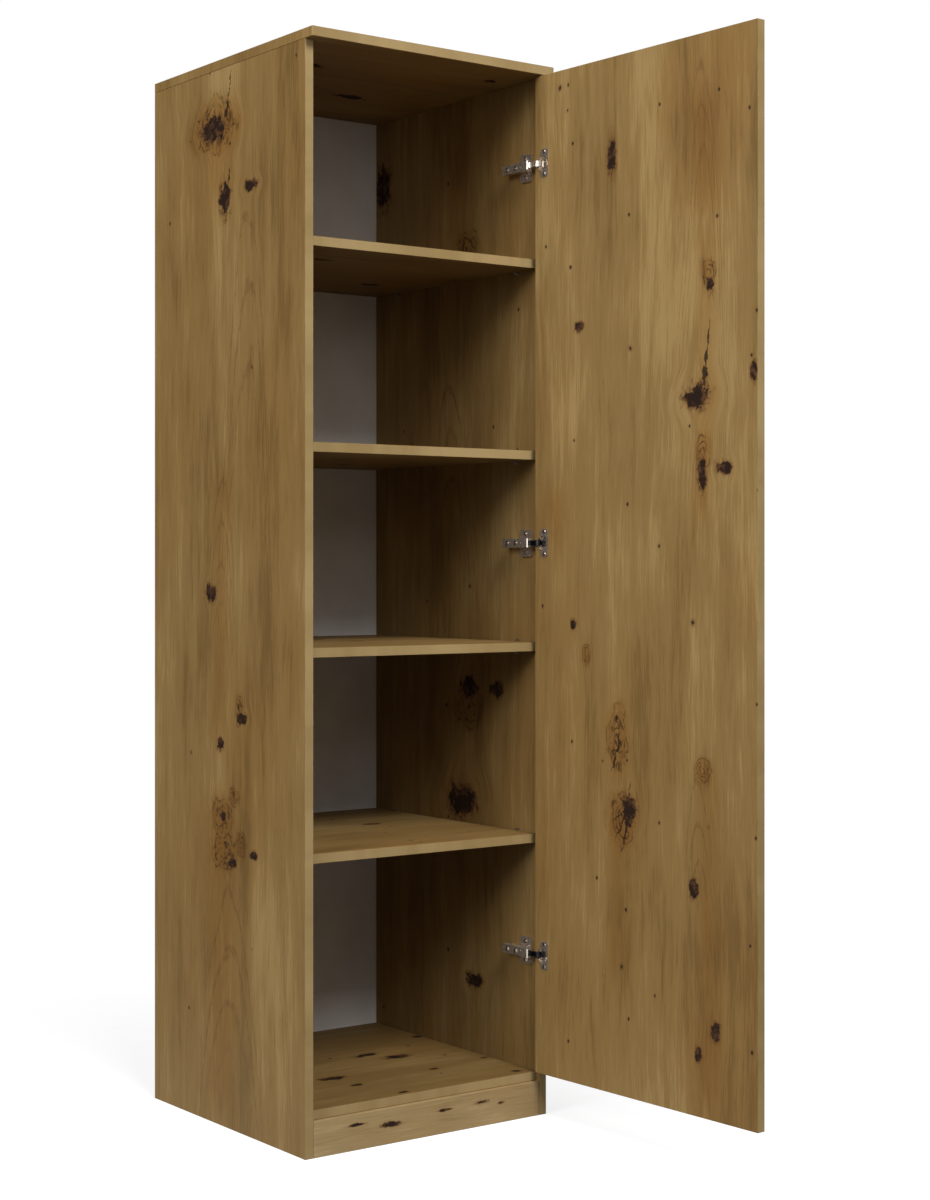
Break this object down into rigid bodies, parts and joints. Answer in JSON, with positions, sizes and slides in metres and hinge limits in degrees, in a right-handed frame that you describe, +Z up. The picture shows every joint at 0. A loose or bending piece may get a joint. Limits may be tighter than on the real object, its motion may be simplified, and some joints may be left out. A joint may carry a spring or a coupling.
{
  "type": "pantry cabinet",
  "caption": "Tall narrow pantry cabinet in knotty oak-look board: open shelves behind a full-height overlay door on concealed cup hinges, a plinth below and an overhanging top.",
  "frame": {"origin": "on the floor, on the cabinet's centreline, at the middle of the plinth board's thickness", "axes": "+Z up, +Y towards the wall behind the cabinet, +X to the right as seen from the front; the door stands open 93 degrees at the right"},
  "size_m": [0.512, 0.9859, 1.8],
  "materials": {
    "oak_board": "matt knotty oak-look decor",
    "white_hardboard": "matt white foil on hardboard",
    "nickel_plate": "nickel-plated steel",
    "dark_nickel": "dark nickel-plated steel",
    "zinc_plate": "zinc-plated steel"
  },
  "bodies": {
    "carcass": {"back_panel": "white_hardboard", "bottom_panel": "oak_board", "left_side_panel": "oak_board", "lower_hinge_adjusting_screw": "nickel_plate", "lower_hinge_arm": "nickel_plate", "lower_hinge_fixing_screw": "nickel_plate", "lower_hinge_plate": "nickel_plate", "lower_hinge_plate_screw_bottom": "nickel_plate", "lower_hinge_plate_screw_top": "nickel_plate", "middle_hinge_adjusting_screw": "nickel_plate", "middle_hinge_arm": "nickel_plate", "middle_hinge_fixing_screw": "nickel_plate", "middle_hinge_plate": "nickel_plate", "middle_hinge_plate_screw_bottom": "nickel_plate", "middle_hinge_plate_screw_top": "nickel_plate", "plinth": "oak_board", "right_side_panel": "oak_board", "shelf_1": "oak_board", "shelf_1_support_left_front": "zinc_plate", "shelf_1_support_left_rear": "zinc_plate", "shelf_1_support_right_front": "zinc_plate", "shelf_1_support_right_rear": "zinc_plate", "shelf_2": "oak_board", "shelf_2_support_left_front": "zinc_plate", "shelf_2_support_left_rear": "zinc_plate", "shelf_2_support_right_front": "zinc_plate", "shelf_2_support_right_rear": "zinc_plate", "shelf_3": "oak_board", "shelf_3_support_left_front": "zinc_plate", "shelf_3_support_left_rear": "zinc_plate", "shelf_3_support_right_front": "zinc_plate", "shelf_3_support_right_rear": "zinc_plate", "shelf_4": "oak_board", "shelf_4_support_left_front": "zinc_plate", "shelf_4_support_left_rear": "zinc_plate", "shelf_4_support_right_front": "zinc_plate", "shelf_4_support_right_rear": "zinc_plate", "top_panel": "oak_board", "upper_hinge_adjusting_screw": "nickel_plate", "upper_hinge_arm": "nickel_plate", "upper_hinge_fixing_screw": "nickel_plate", "upper_hinge_plate": "nickel_plate", "upper_hinge_plate_screw_bottom": "nickel_plate", "upper_hinge_plate_screw_top": "nickel_plate"},
    "hinge_outer_links": {"lower_hinge_outer_link": "dark_nickel", "middle_hinge_outer_link": "dark_nickel", "upper_hinge_outer_link": "nickel_plate"},
    "hinge_inner_links": {"lower_hinge_inner_link": "dark_nickel", "middle_hinge_inner_link": "dark_nickel", "upper_hinge_inner_link": "nickel_plate"},
    "door": {"door_panel": "oak_board", "lower_hinge_cup": "nickel_plate", "lower_hinge_cup_screw_bottom": "nickel_plate", "lower_hinge_cup_screw_top": "nickel_plate", "middle_hinge_cup": "nickel_plate", "middle_hinge_cup_screw_bottom": "nickel_plate", "middle_hinge_cup_screw_top": "nickel_plate", "upper_hinge_cup": "nickel_plate", "upper_hinge_cup_screw_bottom": "nickel_plate", "upper_hinge_cup_screw_top": "nickel_plate"}
  },
  "joints": [
    {"name": "door_swing", "type": "hinge", "parent": "hinge_outer_links", "child": "door", "pos_m": [0.2226, -0.02393, 0], "axis": [0, 0, 1], "range_deg": [-130.66, 2.6]},
    {"name": "outer_link_swing", "type": "hinge", "parent": "carcass", "child": "hinge_outer_links", "pos_m": [0.21318, 0.00572, 0], "axis": [0, 0, 1], "range_deg": [-0.8, 37.7]},
    {"name": "inner_link_swing", "type": "hinge", "parent": "carcass", "child": "hinge_inner_links", "pos_m": [0.21228, -0.00338, 0], "axis": [0, 0, 1], "range_deg": [-0.7, 29.3]}
  ],
  "couplings": [
    {"joint": "outer_link_swing", "follows": "door_swing", "ratio": -0.28823},
    {"joint": "inner_link_swing", "follows": "door_swing", "ratio": -0.22386}
  ]
}
